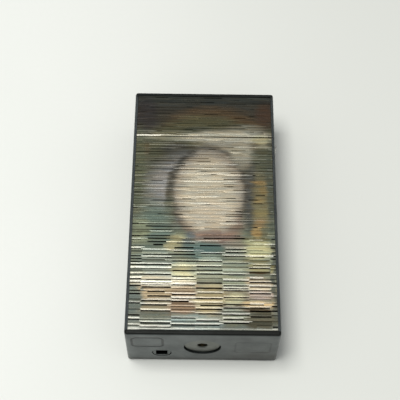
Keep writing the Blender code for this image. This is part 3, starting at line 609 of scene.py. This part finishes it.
def cuts_of(rng, low, high, accents, edge):
    """The cuts of one strip from low to high, as dicts of shape and finish. The first is polished by edge."""
    found = []
    y = low
    groove = 0.0 if edge else 0.12
    worn = edge
    while y < high - 0.1:
        fine = fineness(y)
        if rng.random() < 0.2 * (1 - fine):
            length = rng.uniform(1.2, 2.0)
        else:
            length = (0.95 - 0.25 * fine) * rng.uniform(0.65, 1.4)
        end = y + length
        starts = [(place - SHINY_END, strength) for place, strength in accents]
        ahead = [start for start in starts if start[0] > y + 0.35]
        next_worn = 0
        if ahead and end > min(ahead)[0] - 0.4:
            end, next_worn = min(ahead)
        if high - end < 0.3:
            end = high
        dull = min(1.0, max(0.0, (y - 19.5) / 3))
        deep = next_worn > 0.4 or rng.random() < 0.58 - 0.2 * fine
        next_groove = (0.26 if deep else 0.05) * rng.uniform(0.7, 1.2) * (1 - 0.62 * fine)
        if end == high:
            next_groove = 0.02
        bright = rng.random() < 0.22
        lip = rng.uniform(0.18, 0.32) if bright else rng.uniform(-0.08, 0.08)
        polish = rng.uniform(0.4, 0.8) if bright else rng.uniform(0.0, 0.2)
        spread = 3.2 * fine + (0.12 if rng.random() < 0.75 else 1.6)
        found.append(
            {
                "start": y,
                "end": end,
                "near": groove,
                "far": next_groove,
                "lip": max(0.08 + 0.22 * worn if worn else -1, lip * (1 - 0.6 * fine) * (1 - 0.6 * dull)),
                "width": 0.22 + 0.2 * worn,
                "polish": max(worn, polish * (1 - 0.65 * fine) * (1 - dull)),
                # dark: how much painted shade goes into this cut's grooves and end walls, less towards the
                # cap
                "dark": (1 - 0.92 * min(1.0, max(0.0, (y - 2) / 18))) * (1 - 0.15 * fine),
                "slope": rng.gauss(0.02, 0.05) * (1 - 0.45 * fine),
                "bend": rng.gauss(0, 0.035) * (1 - 0.4 * fine),
                "lean": rng.gauss(0, 0.012),
                "tone": math.exp(rng.gauss(0, 0.14 - 0.05 * fine)),
                "slide": (rng.gauss(0, 0.35 - 0.2 * fine), rng.gauss(0, 0.2 - 0.05 * fine)),
                "ends": (rng.uniform(0, 1) * spread, rng.uniform(0, 1) * spread),
                "sink": rng.uniform(0.0, 0.07) * (1 - 0.6 * fine),
                "last": end == high,
            }
        )
        groove = next_groove
        worn = next_worn
        y = end
    return found


def rows_of(cut):
    """One cut's cross-section, near edge to far edge: (y, height, groove, polish) at each row, groove being
    its painted shade.
    """
    length = cut["end"] - cut["start"]
    riser = min(0.1, length * 0.15)
    lip = min(cut["width"], length * 0.4)
    valley = min(0.26, length * 0.26)
    half = (length - riser - lip - valley) / 2
    crown = cut["near"] + lip * cut["lip"]
    middle = crown - (cut["slope"] - cut["bend"]) * half
    far = middle - (cut["slope"] + cut["bend"]) * half
    # painted shade in the riser and the valley, growing with the groove's depth
    near_shade = min(1.0, cut["near"] * 9) * cut["dark"]
    far_shade = min(1.0, cut["far"] * 9) * cut["dark"]
    return (
        (0.0, 0.0, near_shade, 0.0),
        (riser, cut["near"], 0.0, cut["polish"]),
        (riser + lip, crown, 0.0, 0.0),
        (riser + lip + half, middle, 0.0, 0.0),
        (length - valley, far, far_shade, 0.0),
        (length, far - cut["far"], 0.0, 0.0),
    )


def cut_shell(mesh, layers, cut, span, side, fade, columns=6):
    """One cut as a small open-bottomed shell across its strip."""
    rows = rows_of(cut)
    peak = max(row[1] for row in rows)
    base = MIDDLE_Z * MM
    outer = CUT_TOP - cut["sink"]
    grid = []
    for y_step, rise, _groove, _polish in rows:
        line = []
        for column in range(columns + 1):
            share = column / columns
            x = span[0] + (span[1] - span[0]) * share
            wave = 0.014 * math.sin(x * 1.7 + cut["start"] * 5) + 0.009 * math.sin(x * 4.1 + cut["start"] * 9)
            y = cut["start"] + y_step + wave * (0 < y_step < cut["end"] - cut["start"])
            round_off = fade * (column in (0, columns))
            z = outer - peak + rise + cut["lean"] * (share - 0.5) - round_off
            line.append(mesh.verts.new((x * MM, y * MM, base + side * z * MM)))
        grid.append(line)
    deep = base + side * CUT_FOOT * MM
    under = [[mesh.verts.new((v.co.x, v.co.y, deep)) for v in (line[0], line[-1])] for line in grid]
    groove, polish, tone, slide_x, slide_y = layers
    for row in range(len(grid) - 1):
        made = []
        near, far = grid[row], grid[row + 1]
        for column in range(columns):
            quad = (near[column], near[column + 1], far[column + 1], far[column])
            made.append(mesh.faces.new(quad if side > 0 else quad[::-1]))
        for column, edge in ((0, 0), (-1, 1)):
            wall = (near[column], far[column], under[row + 1][edge], under[row][edge])
            made.append(mesh.faces.new(wall if (edge == 0) == (side > 0) else wall[::-1]))
        for face in made:
            face[groove], face[polish] = rows[row][2:]
            face[tone] = cut["tone"]
            face[slide_x], face[slide_y] = cut["slide"]
    for line, feet in ((grid[0], under[0]), (grid[-1], under[-1])):
        wall = (*line, feet[1], feet[0])
        face = mesh.faces.new(wall if (line is grid[-1]) == (side > 0) else wall[::-1])
        # the end walls get the cut's painted shade, except the panel's last end
        face[groove] = 0.0 if line is grid[-1] and cut["last"] else cut["dark"]
        face[tone] = cut["tone"]


def bark(name, low, high, side, seed, edges):
    """Runs of cuts side by side over one panel. edges is the polish of each strip's near end."""
    rng = random.Random(seed)
    mesh = bmesh.new()
    layers = [mesh.faces.layers.float.new(key) for key in ("groove", "polish", "tone", "slide_x", "slide_y")]
    last = len(STRIP_EDGES) - 2
    for index, (left, right) in enumerate(zip(STRIP_EDGES, STRIP_EDGES[1:])):
        cuts = cuts_of(rng, low.y / MM, high.y / MM, ACCENTS[index], edges[index])
        cuts[0]["start"] += STAGGER * index
        cuts[-1]["end"] -= STAGGER * index
        for cut in cuts:
            span = (
                left if index == 0 else left - 0.05 - cut["ends"][0],
                right if index == last else right + 0.05 + cut["ends"][1],
            )
            span = (max(STRIP_EDGES[0], span[0]), min(STRIP_EDGES[-1], span[1]))
            cut_shell(mesh, layers, cut, span, side, SHOULDER * fineness(cut["start"]))
    data = bpy.data.meshes.new(name)
    mesh.to_mesh(data)
    mesh.free()
    obj = bpy.data.objects.new(name, data)
    bpy.context.scene.collection.objects.link(obj)
    return obj


def make_panels():
    """The four panels, as cuts in place of the plain CAD solids."""
    front = silver("tarnished_silver_front")
    rear = silver("tarnished_silver_back", zones=False)
    panels = (
        ("front_panel_body", "body", front, 1, 11, (1, 1, 0.8, 0.5, 0.3, 0.1, 0.4)),
        ("cap_front_panel", "cap", front, 1, 12, (0.8, 0.8, 0.3, 0, 0, 0, 0)),
        ("back_panel_body", "body", rear, -1, 21, (0, 0, 0, 0, 0, 0, 0)),
        ("cap_back_panel", "cap", rear, -1, 22, (0, 0, 0, 0, 0, 0, 0)),
    )
    for node, body, material, side, seed, edges in panels:
        low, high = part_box(node)
        obj = bark(node + "_bark", low, high, side, seed, edges)
        obj.data.materials.append(material)
        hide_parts(node)
        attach(obj, body)


# ----------------------------------------------------- floor, light, camera

def make_floor():
    """A flat floor that the lighter lies on."""
    mesh = bmesh.new()
    bmesh.ops.create_grid(mesh, x_segments=8, y_segments=8, size=1.2)
    data = bpy.data.meshes.new("floor")
    mesh.to_mesh(data)
    mesh.free()
    floor = bpy.data.objects.new("floor", data)
    bpy.context.scene.collection.objects.link(floor)
    floor.data.materials.append(floor_material())


def area_light(name, place, target, size, power, colour=(1, 1, 1)):
    """A rectangular light at place, turned to target. Places and sizes are in metres."""
    light = bpy.data.lights.new(name, "AREA")
    light.shape = "RECTANGLE"
    light.size, light.size_y = size
    light.energy = power
    light.color = colour
    obj = bpy.data.objects.new(name, light)
    obj.location = place
    obj.rotation_euler = (Vector(target) - Vector(place)).to_track_quat("-Z", "Y").to_euler()
    bpy.context.scene.collection.objects.link(obj)
    return obj


def make_lights():
    """One light for matt surfaces and two that only gloss shows."""
    aim = (0, 0, 0.008)
    ceiling = area_light("ceiling", (-0.10, -0.02, 0.49), aim, (0.2, 0.16), 2.12, (1.0, 0.995, 0.97))
    ceiling.visible_glossy = False
    glints = area_light("glints", (-0.07, -0.01, 0.50), aim, (0.2, 0.12), 0.17)
    glints.visible_diffuse = False
    overhead = area_light("overhead", (0, 0.22, 0.6), (0, 0, 0.016), (0.8, 0.6), 0.42)
    overhead.visible_diffuse = False


def make_world():
    """A pale studio: bright above and to the left, dimmer towards the far wall."""
    world = bpy.data.worlds.new("studio")
    bpy.context.scene.world = world
    world.use_nodes = True
    tree = world.node_tree
    tree.nodes.clear()
    coordinates = tree.nodes.new("ShaderNodeTexCoord")
    split = tree.nodes.new("ShaderNodeSeparateXYZ")
    tree.links.new(coordinates.outputs["Generated"], split.inputs[0])

    def blend(value, low, high, from_value, to_value):
        node = tree.nodes.new("ShaderNodeMapRange")
        node.interpolation_type = "SMOOTHSTEP"
        tree.links.new(value, node.inputs["Value"])
        node.inputs["From Min"].default_value = low
        node.inputs["From Max"].default_value = high
        node.inputs["To Min"].default_value = from_value
        node.inputs["To Max"].default_value = to_value
        return node.outputs[0]

    def join(operation, first, second):
        node = tree.nodes.new("ShaderNodeMath")
        node.operation = operation
        tree.links.new(first, node.inputs[0])
        tree.links.new(second, node.inputs[1])
        return node.outputs[0]

    rising = blend(split.outputs[2], 0.0, 0.6, 0.16, 0.64)
    depth = blend(split.outputs[1], -0.1, 0.95, 1.0, 0.42)
    side = blend(split.outputs[0], -0.7, 0.7, 1.1, 0.88)
    strength = join("MULTIPLY", join("MULTIPLY", rising, depth), side)
    background = tree.nodes.new("ShaderNodeBackground")
    background.inputs[0].default_value = (0.97, 1.0, 1.0, 1)
    tree.links.new(strength, background.inputs[1])
    output = tree.nodes.new("ShaderNodeOutputWorld")
    tree.links.new(background.outputs[0], output.inputs[0])


def make_camera():
    """A camera at the photograph's viewing angle."""
    camera = bpy.data.cameras.new("camera")
    camera.sensor_width = 36
    camera.lens = CAMERA_LENS
    camera.clip_start = 0.01
    camera.clip_end = 10
    obj = bpy.data.objects.new("camera", camera)
    obj.location = CAMERA_PLACE
    obj.rotation_euler = Euler([math.radians(turn) for turn in CAMERA_TURN], "XYZ")
    bpy.context.scene.collection.objects.link(obj)
    bpy.context.scene.camera = obj


dress_cad()
make_springs()
make_panels()
make_floor()
make_world()
make_lights()
make_camera()
bpy.context.scene.view_settings.view_transform = "Standard"
bpy.context.scene.view_settings.look = "None"
